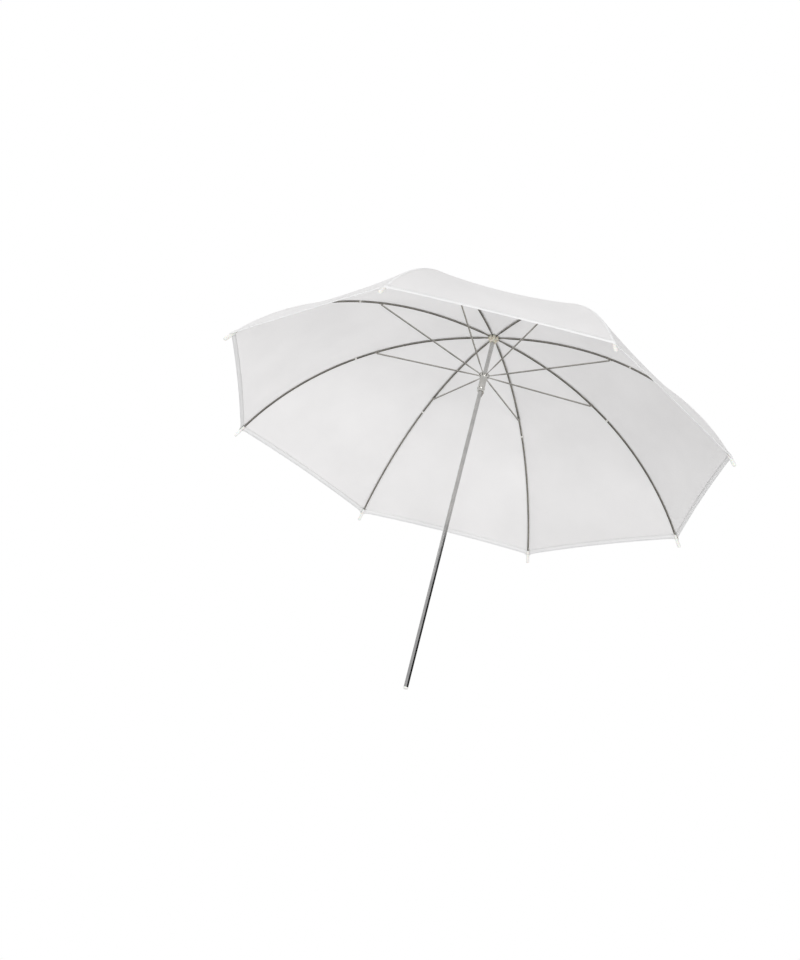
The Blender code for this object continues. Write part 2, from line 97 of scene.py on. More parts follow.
def start_material(name, **values):
    """A new material's tree and its Principled shader, with constants on the shader's own sockets."""
    made = bpy.data.materials.new(name)
    made.use_nodes = True
    shader = made.node_tree.nodes["Principled BSDF"]
    for socket, value in values.items():
        shader.inputs[socket.replace("_", " ")].default_value = value
    return made, made.node_tree, shader


def deselect():
    """Leaves edit mode and selects nothing, because an operator acts on all that is selected."""
    if bpy.context.mode != "OBJECT":
        bpy.ops.object.mode_set(mode="OBJECT")
    bpy.ops.object.select_all(action="DESELECT")


deselect()
bpy.ops.object.camera_add(
    location=CAMERA_PLACE, rotation=[math.radians(angle) for angle in CAMERA_TURN],
)
camera = bpy.context.object
camera.data.lens = CAMERA_LENS
bpy.context.scene.camera = camera
bpy.context.scene.view_settings.view_transform = "Standard"

world = bpy.data.worlds.new("white_studio")
bpy.context.scene.world = world
world.use_nodes = True
tree = world.node_tree
tree.nodes.clear()
looking = add_node(tree, "ShaderNodeTexCoord").outputs["Generated"]
flag_side = Vector((-0.87, -0.40, 0.28)).normalized()
toward_flag = add_node(tree, "ShaderNodeVectorMath", {
    0: looking, 1: flag_side,
}, operation="DOT_PRODUCT")
in_flag = add_node(tree, "ShaderNodeMapRange", {
    "Value": toward_flag.outputs["Value"], "From Min": 0.25, "From Max": 0.50,
}, interpolation_type="SMOOTHSTEP")
path = add_node(tree, "ShaderNodeLightPath")
mirrored = add_node(tree, "ShaderNodeMix", {
    "Factor": in_flag.outputs["Result"], "A": MIRRORED_ROOM, "B": DARK_FLAG,
}, data_type="RGBA")
room = add_node(tree, "ShaderNodeMix", {
    "Factor": path.outputs["Is Glossy Ray"], "A": ROOM_LIGHT, "B": mirrored.outputs["Result"],
}, data_type="RGBA")
lit_room = add_node(tree, "ShaderNodeBackground", {"Color": room.outputs["Result"], "Strength": 1.0})
backdrop = add_node(tree, "ShaderNodeBackground", {"Color": (1, 1, 1, 1), "Strength": 1.0})
sky = add_node(tree, "ShaderNodeMixShader", {
    0: path.outputs["Is Camera Ray"], 1: lit_room.outputs[0], 2: backdrop.outputs[0],
})
add_node(tree, "ShaderNodeOutputWorld", {"Surface": sky.outputs[0]})

for place, size, power in (
    ((-1.6, 3.3, -0.50), 1.0, 7.5),
    ((2.2, 1.2, 2.4), 2.0, 4.0),
):
    bpy.ops.object.light_add(type="AREA", location=place)
    softbox = bpy.context.object
    softbox.data.size = size
    softbox.data.energy = power
    softbox.data.spread = math.radians(70)
    softbox.rotation_euler = (LIGHTS_AIM - Vector(place)).to_track_quat("-Z", "Y").to_euler()

deselect()
bpy.ops.mesh.primitive_circle_add(
    vertices=128, radius=80, fill_type="NGON", location=(0, 0, FLOOR_HEIGHT),
)
floor = bpy.context.object
floor.name = "floor"
# Matt white studio paint: it spreads the light evenly and shows no gloss.
floor_paint, tree, shader = start_material("matt_white_studio_paint", Roughness=0.8)
shader.inputs["Base Color"].default_value = colour("#F6F6F5")
floor.data.materials.append(floor_paint)

# Shaft: a drawn steel tube, 8 mm across, nickel plated over its draw marks. A slot near the top
# lets the catch stand out, and a pressed-in pin above it stops the runner.

SHAFT_WALL = 0.0006
SHAFT_LIP = 0.0002
SLOT_HALF = 0.0009
SLOT_SPARE = 0.0003
PIN_RADIUS = 0.0010
PIN_HOLE = 0.0013
PIN_REACH = 0.0055
shaft_bottom, shaft_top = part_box("shaft_tube")
shaft_radius = shaft_top.x


def finished(piece, name, bevel=0.0, smooth=35):
    """Applies the piece's place, rounds its edges and shades it smooth."""
    deselect()
    piece.select_set(True)
    bpy.context.view_layer.objects.active = piece
    piece.name = piece.data.name = name
    bpy.ops.object.transform_apply(location=True, rotation=True, scale=True)
    if bevel:
        rounding = piece.modifiers.new("rounding", "BEVEL")
        rounding.width = bevel
        rounding.segments = 2
        rounding.limit_method = "ANGLE"
        bpy.ops.object.modifier_apply(modifier=rounding.name)
    bpy.ops.object.shade_smooth_by_angle(angle=math.radians(smooth))
    return piece


def turned(name, outline, sides=48, hollow=False):
    """A turned piece: a circle extruded and resized along an outline of (radius, height) points."""
    deselect()
    radius, height = outline[0]
    bpy.ops.mesh.primitive_circle_add(vertices=sides, radius=radius, location=(0, 0, height))
    piece = bpy.context.object
    bpy.ops.object.mode_set(mode="EDIT")
    bpy.ops.mesh.select_mode(type="VERT")
    for next_radius, next_height in outline[1:]:
        rise = (0, 0, next_height - height)
        bpy.ops.mesh.extrude_region_move(TRANSFORM_OT_translate={"value": rise})
        if next_radius != radius:
            share = next_radius / radius
            middle = (0, 0, next_height)
            bpy.ops.transform.resize(value=(share, share, 1), center_override=middle)
        radius, height = next_radius, next_height
    bpy.ops.mesh.select_all(action="DESELECT")
    bpy.ops.mesh.select_non_manifold(extend=False)
    if hollow:
        bpy.ops.mesh.bridge_edge_loops()
    else:
        bpy.ops.mesh.fill_holes(sides=0)
    bpy.ops.mesh.select_all(action="SELECT")
    bpy.ops.mesh.normals_make_consistent(inside=False)
    return finished(piece, name)


def cut_out(piece, cutter):
    """Cuts one mesh out of another and removes the cutter."""
    deselect()
    piece.select_set(True)
    bpy.context.view_layer.objects.active = piece
    cut = piece.modifiers.new("cut", "BOOLEAN")
    cut.operation = "DIFFERENCE"
    cut.object = cutter
    bpy.ops.object.modifier_apply(modifier=cut.name)
    bpy.data.objects.remove(cutter, do_unlink=True)
    bpy.ops.object.shade_smooth_by_angle(angle=math.radians(35))


def box_piece(low, high, azimuth=0.0):
    """A cube stretched between two corners, then turned about the shaft's axis."""
    deselect()
    middle = (Vector(low) + Vector(high)) / 2
    spin = Matrix.Rotation(azimuth, 3, "Z")
    bpy.ops.mesh.primitive_cube_add(size=1, location=spin @ middle, rotation=(0, 0, azimuth))
    bpy.context.object.scale = Vector(high) - Vector(low)
    return bpy.context.object


def rod_piece(start, end, radius, sides=24):
    """A round rod between two points."""
    deselect()
    start, end = Vector(start), Vector(end)
    bpy.ops.mesh.primitive_cylinder_add(
        vertices=sides, radius=radius, depth=(end - start).length,
        location=(start + end) / 2, rotation=(end - start).to_track_quat("Z", "Y").to_euler(),
    )
    return bpy.context.object


def joined(pieces):
    """Joins pieces into the first of them."""
    deselect()
    for piece in pieces:
        piece.select_set(True)
    bpy.context.view_layer.objects.active = pieces[0]
    bpy.ops.object.join()
    return bpy.context.object


def plated(name, base, rough, streaks, grain):
    """Plated metal: a tint that varies a little, and marks of the die or the rolls in its gloss and
    surface, drawn out along the axis where streaks is small."""
    made, tree, shader = start_material(name, Metallic=1.0)
    place = add_node(tree, "ShaderNodeTexCoord").outputs["Object"]
    drawn = add_node(tree, "ShaderNodeMapping", {"Vector": place, "Scale": streaks})
    marks = add_node(tree, "ShaderNodeTexNoise", {
        "Vector": drawn.outputs[0], "Scale": grain, "Detail": 5.0,
    })
    clouds = add_node(tree, "ShaderNodeTexNoise", {"Vector": place, "Scale": 60.0, "Detail": 3.0})
    tint = add_node(tree, "ShaderNodeValToRGB", {"Fac": clouds.outputs["Fac"]})
    tint.color_ramp.elements[0].position = 0.35
    tint.color_ramp.elements[1].position = 0.7
    tint.color_ramp.elements[0].color = colour(base[0])
    tint.color_ramp.elements[1].color = colour(base[1])
    gloss = add_node(tree, "ShaderNodeMapRange", {
        "Value": marks.outputs["Fac"], "To Min": rough - 0.07, "To Max": rough + 0.09,
    })
    relief = add_node(tree, "ShaderNodeBump", {
        "Height": marks.outputs["Fac"], "Strength": 0.25, "Distance": 0.00005,
    })
    tree.links.new(tint.outputs["Color"], shader.inputs["Base Color"])
    tree.links.new(gloss.outputs["Result"], shader.inputs["Roughness"])
    tree.links.new(relief.outputs["Normal"], shader.inputs["Normal"])
    return made


# Nickel-plated drawn tube: a cool grey mirror, blurred across its 0.1 mm draw marks.
nickel_tube = plated(
    "nickel_plated_drawn_steel", ("#C0C0BF", "#CFCECC"), 0.18, (1.0, 1.0, 0.01), 9000.0
)
inner_radius = shaft_radius - SHAFT_WALL
shaft = turned("shaft", [
    (inner_radius, shaft_bottom.z), (shaft_radius - SHAFT_LIP, shaft_bottom.z),
    (shaft_radius, shaft_bottom.z + SHAFT_LIP), (shaft_radius, shaft_top.z - SHAFT_LIP),
    (shaft_radius - SHAFT_LIP, shaft_top.z), (inner_radius, shaft_top.z),
], hollow=True)
catch_low, catch_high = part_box("top_catch")
catch_azimuth = math.atan2(catch_low.y + catch_high.y, catch_low.x + catch_high.x)
cut_out(shaft, box_piece(
    (0.0005, -SLOT_HALF, catch_low.z - SLOT_SPARE), (0.007, SLOT_HALF, catch_high.z + SLOT_SPARE),
    catch_azimuth,
))
pin_low, pin_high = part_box("stop_pin")
pin_middle = (pin_low + pin_high) / 2
catch_way = Vector((math.cos(catch_azimuth), math.sin(catch_azimuth), 0))
pin_way = catch_way * PIN_REACH
cut_out(shaft, rod_piece(pin_middle - pin_way * 1.4, pin_middle + pin_way * 1.4, PIN_HOLE))
shaft.data.materials.append(nickel_tube)
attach(shaft, "shaft")
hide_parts("shaft_tube")

# Stop pin: a short rod of the same plated steel with domed ends. It is pressed through two holes in
# the shaft, and the runner comes up against it.

stop_pin = finished(
    rod_piece(pin_middle - pin_way, pin_middle + pin_way, PIN_RADIUS), "runner_stop", 0.0004
)
stop_pin.data.materials.append(nickel_tube)
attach(stop_pin, "shaft")
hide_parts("stop_pin")

# Shaft plug: a moulded white polypropylene cap, pushed into the tube's lower end. Its flange covers
# the cut edge.


def moulded(name, pale, deep, rough, glow):
    """Moulded plastic: a slight clouding in its colour, and the fine grain of the mould."""
    made, tree, shader = start_material(name, Subsurface_Weight=glow, Subsurface_Scale=0.002)
    place = add_node(tree, "ShaderNodeTexCoord").outputs["Object"]
    clouds = add_node(tree, "ShaderNodeTexNoise", {"Vector": place, "Scale": 180.0, "Detail": 3.0})
    tint = add_node(tree, "ShaderNodeValToRGB", {"Fac": clouds.outputs["Fac"]})
    tint.color_ramp.elements[0].position = 0.3
    tint.color_ramp.elements[1].position = 0.7
    tint.color_ramp.elements[0].color = colour(deep)
    tint.color_ramp.elements[1].color = colour(pale)
    grain = add_node(tree, "ShaderNodeTexNoise", {"Vector": place, "Scale": 4000.0, "Detail": 2.0})
    gloss = add_node(tree, "ShaderNodeMapRange", {
        "Value": grain.outputs["Fac"], "To Min": rough - 0.06, "To Max": rough + 0.06,
    })
    relief = add_node(tree, "ShaderNodeBump", {
        "Height": grain.outputs["Fac"], "Strength": 0.2, "Distance": 0.00004,
    })
    tree.links.new(tint.outputs["Color"], shader.inputs["Base Color"])
    tree.links.new(gloss.outputs["Result"], shader.inputs["Roughness"])
    tree.links.new(relief.outputs["Normal"], shader.inputs["Normal"])
    return made


# White polypropylene: milky, with light just under its skin, and a satin mould finish.
white_plastic = moulded("moulded_white_polypropylene", "#F4F4F0", "#E6E6E1", 0.38, 0.1)
plug_low, plug_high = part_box("shaft_end_plug")
flange = plug_high.x
plug = turned("shaft_plug", [
    (flange - 0.0012, plug_low.z), (flange - 0.0003, plug_low.z + 0.0005),
    (flange, plug_low.z + 0.0012), (flange, plug_low.z + 0.0029),
    (inner_radius - 0.0002, plug_low.z + 0.0030),
    (inner_radius - 0.0002, plug_high.z - 0.0008), (inner_radius - 0.0008, plug_high.z),
])
plug.data.materials.append(white_plastic)
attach(plug, "shaft")
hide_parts("shaft_end_plug")

# Notch: the moulded nylon spool on the shaft's head. Eight slots hold the ribs' eyes, which turn on a
# ring of spring wire that lies in a groove.

SHAFT_BORE = 0.0043
NOTCH_NECK = 0.0066
EYE_SLOT = 0.0019
WIRE_RADIUS = 0.0005
GROOVE_HALF = 0.0008
RIB_COUNT = 8
hinge_point = Vector(joints["rib_hinge_1"]["pos_m"])
notch_z, rib_hinge_radius = hinge_point.z, hinge_point.x
notch_low, notch_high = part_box("notch")
rim = notch_high.x


def slot_cutter(inner, outer, low, high, width):
    """A radial box for each rib, in one mesh."""
    boxes = []
    for k in range(RIB_COUNT):
        azimuth = 2 * math.pi * k / RIB_COUNT
        boxes.append(box_piece((inner, -width / 2, low), (outer, width / 2, high), azimuth))
    return joined(boxes)


# Cream nylon: warmer and a little duller than the other mouldings.
cream_nylon = moulded("moulded_cream_nylon", "#EFEBDC", "#DED8C4", 0.42, 0.1)
notch = turned("notch_spool", [
    (SHAFT_BORE, notch_low.z), (NOTCH_NECK - 0.0005, notch_low.z),
    (NOTCH_NECK, notch_low.z + 0.0008), (NOTCH_NECK, notch_low.z + 0.0048),
    (rim - 0.0009, notch_low.z + 0.0058), (rim, notch_low.z + 0.0070),
    (rim, notch_high.z - 0.0010), (rim - 0.0007, notch_high.z), (SHAFT_BORE, notch_high.z),
], 64, hollow=True)
cut_out(notch, slot_cutter(0.0058, 0.0125, notch_z - 0.007, notch_z + 0.004, EYE_SLOT))
groove_inside, groove_outside = rib_hinge_radius - GROOVE_HALF, rib_hinge_radius + GROOVE_HALF
cut_out(notch, turned("groove", [
    (groove_inside, notch_z - GROOVE_HALF), (groove_outside, notch_z - GROOVE_HALF),
    (groove_outside, notch_z + 0.003), (groove_inside, notch_z + 0.003),
], 64, hollow=True))
notch.data.materials.append(cream_nylon)
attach(notch, "shaft")
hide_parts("notch")


def wire_ring(name, radius, height):
    """A closed ring of wire round the shaft."""
    deselect()
    bpy.ops.mesh.primitive_torus_add(
        location=(0, 0, height), major_radius=radius, minor_radius=WIRE_RADIUS,
        major_segments=64, minor_segments=10,
    )
    return finished(bpy.context.object, name, smooth=60)


# Spring steel wire: bright, hard and slightly brown.
spring_wire = plated(
    "bright_spring_steel_wire", ("#8F8B85", "#A8A49D"), 0.26, (1.0, 1.0, 1.0), 5000.0
)
notch_wire = wire_ring("notch_wire_ring", rib_hinge_radius, notch_z)
notch_wire.data.materials.append(spring_wire)
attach(notch_wire, "shaft")
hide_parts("notch_wire")

# Catch: a bent tongue of bright spring steel in the shaft's slot, held by its own spring. Its lower
# corner is cut to a ramp that the runner snaps over.

CATCH_HALF = 0.0006
catch = finished(box_piece(
    (0.0012, -CATCH_HALF, catch_low.z), (0.0076, CATCH_HALF, catch_high.z), catch_azimuth,
), "catch_tongue")
for corner in catch.data.vertices:
    out = corner.co.dot(catch_way)
    if corner.co.z < catch_low.z + 0.001 and out > 0.005:
        corner.co -= catch_way * (out - shaft_radius - 0.0001)
catch = finished(catch, "catch_tongue", 0.0002)
catch.data.materials.append(spring_wire)
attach(catch, "catch")
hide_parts("top_catch")

# Ribs: 3 mm channels rolled from thin strip steel and plated dark grey, open towards the shaft. The
# root is squeezed flat round its eye, and the far end is a round peg in the tip cap.

RIB_LENGTH = 0.550
RIB_CURVE_ROOT = 1.335
RIB_CURVE_GROWTH = 1.674
RIB_WIDTH = 0.0030
RIB_HEIGHT = 0.0024
RIB_WALL = 0.00045
PLATE_HALF = 0.0006
PEG_RADIUS = 0.0011
PEG_REACH = 0.006


def rib_slope(s):
    """How steeply the rib falls at the distance s along it."""
    return RIB_CURVE_ROOT * s + RIB_CURVE_GROWTH * s * s / 2


def rib_frame(s):
    """The rib's centre, its direction and its outward normal at s, in the plane of azimuth 0."""
    out, down, steps = 0.0, 0.0, 48
    for i in range(steps):
        slope = rib_slope(s * (i + 0.5) / steps)
        out += math.cos(slope) * s / steps
        down += math.sin(slope) * s / steps
    slope = rib_slope(s)
    centre = Vector((rib_hinge_radius + out, 0.0, notch_z - down))
    along = Vector((math.cos(slope), 0.0, -math.sin(slope)))
    return centre, along, Vector((math.sin(slope), 0.0, math.cos(slope)))


def lay_on_rib(piece):
    """Bends a straight piece along the rib: its X runs along the rib and its Z stands out from it."""
    known = {}
    for corner in piece.data.vertices:
        s = min(max(corner.co.x, 0.0), RIB_LENGTH)
        if s not in known:
            known[s] = rib_frame(s)
        centre, along, normal = known[s]
        side, rise = corner.co.y, corner.co.z
        corner.co = centre + along * (corner.co.x - s) + normal * rise + Vector((0, side, 0))


def pick(piece, kind, wanted):
    """Selects the faces or edges that are wanted, and leaves the piece in edit mode."""
    bpy.context.view_layer.objects.active = piece
    bpy.ops.object.mode_set(mode="EDIT")
    bpy.ops.mesh.select_mode(type=kind)
    bpy.ops.mesh.select_all(action="DESELECT")
    bpy.ops.object.mode_set(mode="OBJECT")
    corners = piece.data.vertices
    for item in piece.data.polygons if kind == "FACE" else piece.data.edges:
        item.select = wanted([corners[i].co for i in item.vertices])
    bpy.ops.object.mode_set(mode="EDIT")


def copies_round(piece, name):
    """Copies of a piece, one for each rib, each with its own mesh, in place of the piece itself."""
    made = []
    for k in range(RIB_COUNT):
        twin = piece.copy()
        twin.data = piece.data.copy()
        twin.name = twin.data.name = f"{name}_{k + 1}"
        twin.data.transform(Matrix.Rotation(2 * math.pi * k / RIB_COUNT, 4, "Z"))
        bpy.context.scene.collection.objects.link(twin)
        made.append(twin)
    bpy.data.objects.remove(piece, do_unlink=True)
    return made


def channel_piece(name, start, end, width, height, wall, cuts):
    """A channel rolled from strip, open downwards, which runs along X about the origin's height."""
    piece = box_piece((start, -width / 2, -height / 2), (end, width / 2, height / 2))
    piece = finished(piece, name)
    pick(piece, "FACE", lambda face: face[0].x == face[2].x or max(corner.z for corner in face) < 0)
    bpy.ops.mesh.delete(type="ONLY_FACE")
    bpy.ops.object.mode_set(mode="OBJECT")
    pick(piece, "EDGE", lambda edge: edge[0].x != edge[1].x and edge[0].z > 0)
    bpy.ops.mesh.bevel(offset=wall * 1.2, segments=3)
    bpy.ops.object.mode_set(mode="OBJECT")
    pick(piece, "EDGE", lambda edge: abs(edge[0].x - edge[1].x) > (end - start) / 2)
    bpy.ops.mesh.subdivide(number_cuts=cuts)
    bpy.ops.object.mode_set(mode="OBJECT")
    strip = piece.modifiers.new("strip", "SOLIDIFY")
    strip.thickness = wall
    strip.offset = -1
    bpy.ops.object.modifier_apply(modifier=strip.name)
    return piece


def squeeze(piece, middle, reach, narrow):
    """Presses a channel flat towards one end, as the press does round an eye."""
    for corner in piece.data.vertices:
        share = min(max(1 - (abs(corner.co.x - middle) - reach / 2) / (reach / 2), 0.0), 1.0)
        corner.co.y *= 1 - (1 - narrow) * share * share * (3 - 2 * share)


# Dark nickel over rolled strip steel: warm grey, half glossy, brighter where the rolls rubbed it.
dark_steel = plated(
    "dark_nickel_plated_strip_steel", ("#96938D", "#A9A69F"), 0.24, (0.05, 1.0, 1.0), 3000.0
)
channel = channel_piece("rib_channel", 0.0, RIB_LENGTH, RIB_WIDTH, RIB_HEIGHT, RIB_WALL, 110)
squeeze(channel, 0.0, 0.024, 0.38)
lay_on_rib(channel)
end_centre, end_along, end_normal = rib_frame(RIB_LENGTH)
eye = finished(rod_piece(
    (rib_hinge_radius, -PLATE_HALF, notch_z), (rib_hinge_radius, PLATE_HALF, notch_z),
    RIB_HEIGHT / 2,
), "rib_eye", 0.0002)
peg = finished(rod_piece(
    end_centre - end_along * PEG_REACH, end_centre + end_along * PEG_REACH, PEG_RADIUS,
), "rib_peg", 0.0004)
rib = finished(joined([channel, eye, peg]), "rib_strip", smooth=40)
rib.data.materials.clear()
rib.data.materials.append(dark_steel)
for k, piece in enumerate(copies_round(rib, "steel_rib")):
    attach(piece, f"rib_{k + 1}_arm")
    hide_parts(f"rib_{k + 1}")

# Rib clips: saddles folded from the same strip steel, crimped under the ribs. Each has an ear below
# and a riveted pin that the stretcher turns on.

JOINT_ALONG_RIB = 0.236
CLIP_HALF = 0.004
EAR_HALF = 0.00048
EAR_RADIUS = 0.0014
CLIP_PIN_RADIUS = 0.00075
CLIP_PIN_HALF = 0.0019
joint_point = Vector(joints["stretcher_hinge_1"]["pos_m"])
clip_place, clip_along, clip_normal = rib_frame(JOINT_ALONG_RIB)
joint_drop = (clip_place - joint_point).length
clip_width = RIB_WIDTH + 0.0015
saddle = channel_piece(
    "saddle", -CLIP_HALF, CLIP_HALF, clip_width, RIB_HEIGHT + 0.0003, 0.0005, 3
)
saddle.data.transform(Matrix.Rotation(math.pi, 4, "X") @ Matrix.Translation((0, 0, 0.00065)))
ear = finished(rod_piece(
    (0, -EAR_HALF, -joint_drop), (0, EAR_HALF, -joint_drop), EAR_RADIUS,
), "ear", 0.0002)
neck = box_piece((-0.0011, -EAR_HALF, -joint_drop), (0.0011, EAR_HALF, -RIB_HEIGHT / 2 - 0.0003))
pin = finished(rod_piece(
    (0, -CLIP_PIN_HALF, -joint_drop), (0, CLIP_PIN_HALF, -joint_drop), CLIP_PIN_RADIUS,
), "pin", 0.0002)
clip = finished(joined([saddle, ear, neck, pin]), "clip")
clip_lean = Matrix((clip_along, (0, 1, 0), clip_normal)).transposed().to_4x4()
clip.data.transform(Matrix.Translation(clip_place) @ clip_lean)
clip.data.materials.clear()
clip.data.materials.append(dark_steel)
for k, piece in enumerate(copies_round(clip, "stretcher_clip")):
    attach(piece, f"rib_{k + 1}_arm")
    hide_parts(f"rib_clip_{k + 1}")

# Stretchers: 2.6 mm channels of zinc-plated strip, open downwards. The rib's end is forked round the
# clip's ear, and the runner's end is pressed flat round an eye.

STRETCHER_WIDTH = 0.0026
STRETCHER_HEIGHT = 0.0022
STRETCHER_WALL = 0.0005
STRETCHER_EYE = 0.0014
RUNNER_PIVOT_RADIUS = 0.0095
CHEEK_PLACE = 0.00105
CHEEK_HALF = 0.00024
# Zinc-plated strip steel: paler than the ribs, with a grey bloom.
zinc_steel = plated(
    "zinc_plated_strip_steel", ("#B2B0AA", "#C4C2BD"), 0.25, (0.05, 1.0, 1.0), 3000.0
)
runner_low, runner_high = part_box("runner")
runner_z = runner_high.z - 0.0025
runner_pivot = Vector((RUNNER_PIVOT_RADIUS, 0, runner_z))
reach = (runner_pivot - joint_point).length
arm = channel_piece(
    "arm", -0.0012, reach - 0.002, STRETCHER_WIDTH, STRETCHER_HEIGHT, STRETCHER_WALL, 60
)
squeeze(arm, reach, 0.034, 0.44)
cut_out(arm, box_piece((-0.004, -0.0009, 0.0), (0.006, 0.0009, 0.003)))
end_eye = finished(rod_piece(
    (reach, -PLATE_HALF, 0), (reach, PLATE_HALF, 0), STRETCHER_EYE,
), "end_eye", 0.0002)
blade = box_piece((reach - 0.012, -PLATE_HALF, -0.0009), (reach, PLATE_HALF, 0.0009))
cheeks = []
for side in (-CHEEK_PLACE, CHEEK_PLACE):
    cheek = rod_piece((0, side - CHEEK_HALF, 0), (0, side + CHEEK_HALF, 0), STRETCHER_EYE)
    cheeks.append(finished(cheek, "cheek", 0.00015))
stretcher = finished(joined([arm, end_eye, blade] + cheeks), "stretcher")
inward = (runner_pivot - joint_point).normalized()
above = Vector((inward.z, 0, -inward.x))
stretcher_lean = Matrix((inward, above.cross(inward), above)).transposed().to_4x4()
stretcher.data.transform(Matrix.Translation(joint_point) @ stretcher_lean)
stretcher.data.materials.clear()
stretcher.data.materials.append(zinc_steel)
for k, piece in enumerate(copies_round(stretcher, "stretcher_arm")):
    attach(piece, f"stretcher_{k + 1}_arm")
    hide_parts(f"stretcher_{k + 1}")

# Runner: a turned and nickel-plated tube that slides on the shaft. Its slotted crown holds the
# stretchers' eyes on a wire, and a pressed collar near its rim is the grip for the fingers.

TUBE_RADIUS = 0.00675
SIDE_HOLE = 0.0012
COLLAR_AZIMUTHS = (90.0, 135.0)
# Polished nickel plate: a bright, slightly warm mirror with faint polishing marks.
bright_nickel = plated(
    "polished_nickel_plate", ("#C9C8C4", "#DAD9D5"), 0.13, (1.0, 1.0, 1.0), 2500.0
)
crown_radius = runner_high.x
runner = turned("runner_tube", [
    (SHAFT_BORE, runner_low.z), (TUBE_RADIUS - 0.0005, runner_low.z),
    (TUBE_RADIUS, runner_low.z + 0.0005), (TUBE_RADIUS, runner_low.z + 0.0012),
    (TUBE_RADIUS - 0.0003, runner_low.z + 0.0015), (TUBE_RADIUS - 0.0003, runner_low.z + 0.0019),
    (TUBE_RADIUS, runner_low.z + 0.0022), (TUBE_RADIUS, runner_z - 0.0052),
    (TUBE_RADIUS + 0.0008, runner_z - 0.0036), (crown_radius - 0.0010, runner_z - 0.0025),
    (crown_radius, runner_z - 0.0018), (crown_radius, runner_z + 0.0018),
    (crown_radius - 0.0007, runner_z + 0.0025), (SHAFT_BORE, runner_z + 0.0025),
], 64, hollow=True)
cut_out(runner, slot_cutter(
    TUBE_RADIUS + 0.0002, 0.013, runner_z - 0.005, runner_z + 0.005, EYE_SLOT,
))
collar_low, collar_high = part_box("runner_collar")
collar_z = (collar_low.z + collar_high.z) / 2


def side_hole(piece, azimuth, height, inner=0.0044):
    """Bores a hole in from the outside of a turned piece, as deep as the radius inner."""
    way = Vector((math.cos(math.radians(azimuth)), math.sin(math.radians(azimuth)), 0))
    middle = Vector((0, 0, height))
    cut_out(piece, rod_piece(middle + way * inner, middle + way * 0.013, SIDE_HOLE))


side_hole(runner, 112.5, runner_z - 0.0004, 0.0062)
for azimuth in COLLAR_AZIMUTHS:
    side_hole(runner, azimuth, collar_z)
runner.data.materials.append(bright_nickel)
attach(runner, "runner")
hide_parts("runner")

runner_wire = wire_ring("runner_wire_ring", runner_pivot.x, runner_z)
runner_wire.data.materials.append(spring_wire)
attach(runner_wire, "runner")

collar_radius = collar_high.x
collar_outline = [(TUBE_RADIUS + 0.0002, collar_low.z)]
for i in range(9):
    bulge = math.sin(math.pi * i / 8)
    height = collar_low.z + (collar_high.z - collar_low.z) * i / 8
    collar_outline.append((collar_radius - 0.0006 * (1 - bulge), height))
collar_outline.append((TUBE_RADIUS + 0.0002, collar_high.z))
collar = turned("runner_grip_collar", collar_outline, 64, hollow=True)
for azimuth in COLLAR_AZIMUTHS:
    side_hole(collar, azimuth, collar_z, 0.0060)
collar.data.materials.append(bright_nickel)
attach(collar, "runner")
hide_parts("runner_collar")

# Canopy: eight gores of white nylon taffeta, cut on the curve, sewn edge to edge and tied to the
# ribs. It is one sheet, which is drawn in eight sectors from mid-gore to mid-gore, each on its rib,
# so that it folds with the ribs.

CLOTH_LIFT = 0.001725
CLOTH_START = 0.0012
GORE_SAG = 0.008
HEM_REACH = 0.008
HEM_HOLLOW = 0.004
HEM_WIDTH = 0.009
CAP_LIFT = 0.0017
RIPPLE_HEIGHT = 0.00022
RIPPLE_LENGTH = 0.021
TIP_GATHER = 0.0010
CLOTH_ROWS = 72
CLOTH_COLUMNS = 14


def gore_width(s):
    """How far it is across a gore at the distance s along its ribs."""
    return 2 * rib_frame(s)[0].x * math.sin(math.pi / RIB_COUNT)


GORE_WIDTH = gore_width(RIB_LENGTH + HEM_REACH)


def cloth_edge(v):
    """Where the hem ends: past the ribs' ends, on the tip caps, and a little hollow between them."""
    return RIB_LENGTH + HEM_REACH - HEM_HOLLOW * 4 * abs(v) * (1 - abs(v))


def cloth_at(s, v, lift=0.0):
    """A point of the canopy: s along the ribs, and v from -0.5 to 0.5 gore to either side of rib 1."""
    centre, _, normal = rib_frame(s)
    corner = RIB_WIDTH / 2 * math.tan(math.pi / RIB_COUNT)
    near = centre + normal * (CLOTH_LIFT + corner * math.sin(rib_slope(s)))
    side = 1 if v >= 0 else -1
    far = Matrix.Rotation(side * 2 * math.pi / RIB_COUNT, 3, "Z") @ near
    middle_normal = Matrix.Rotation(side * math.pi / RIB_COUNT, 3, "Z") @ normal
    share = abs(v)
    part = s / RIB_LENGTH
    sag = GORE_SAG * 4 * share * (1 - share) * part * part * max(1 - part, 0.0) * 27 / 4
    facing = normal.lerp(middle_normal, min(1.0, share * 4)).normalized()
    on_cap = min(max((s - RIB_LENGTH + 0.005) / 0.006, 0.0), 1.0)
    lift += CAP_LIFT * on_cap * math.exp(-((share * GORE_WIDTH / 0.005) ** 2))
    return near.lerp(far, share) - middle_normal * sag + facing * lift


def cloth_beside(s, side, lift=0.0):
    """A point of the canopy at a distance to the side of the rib, in metres."""
    return cloth_at(s, side / gore_width(s), lift)


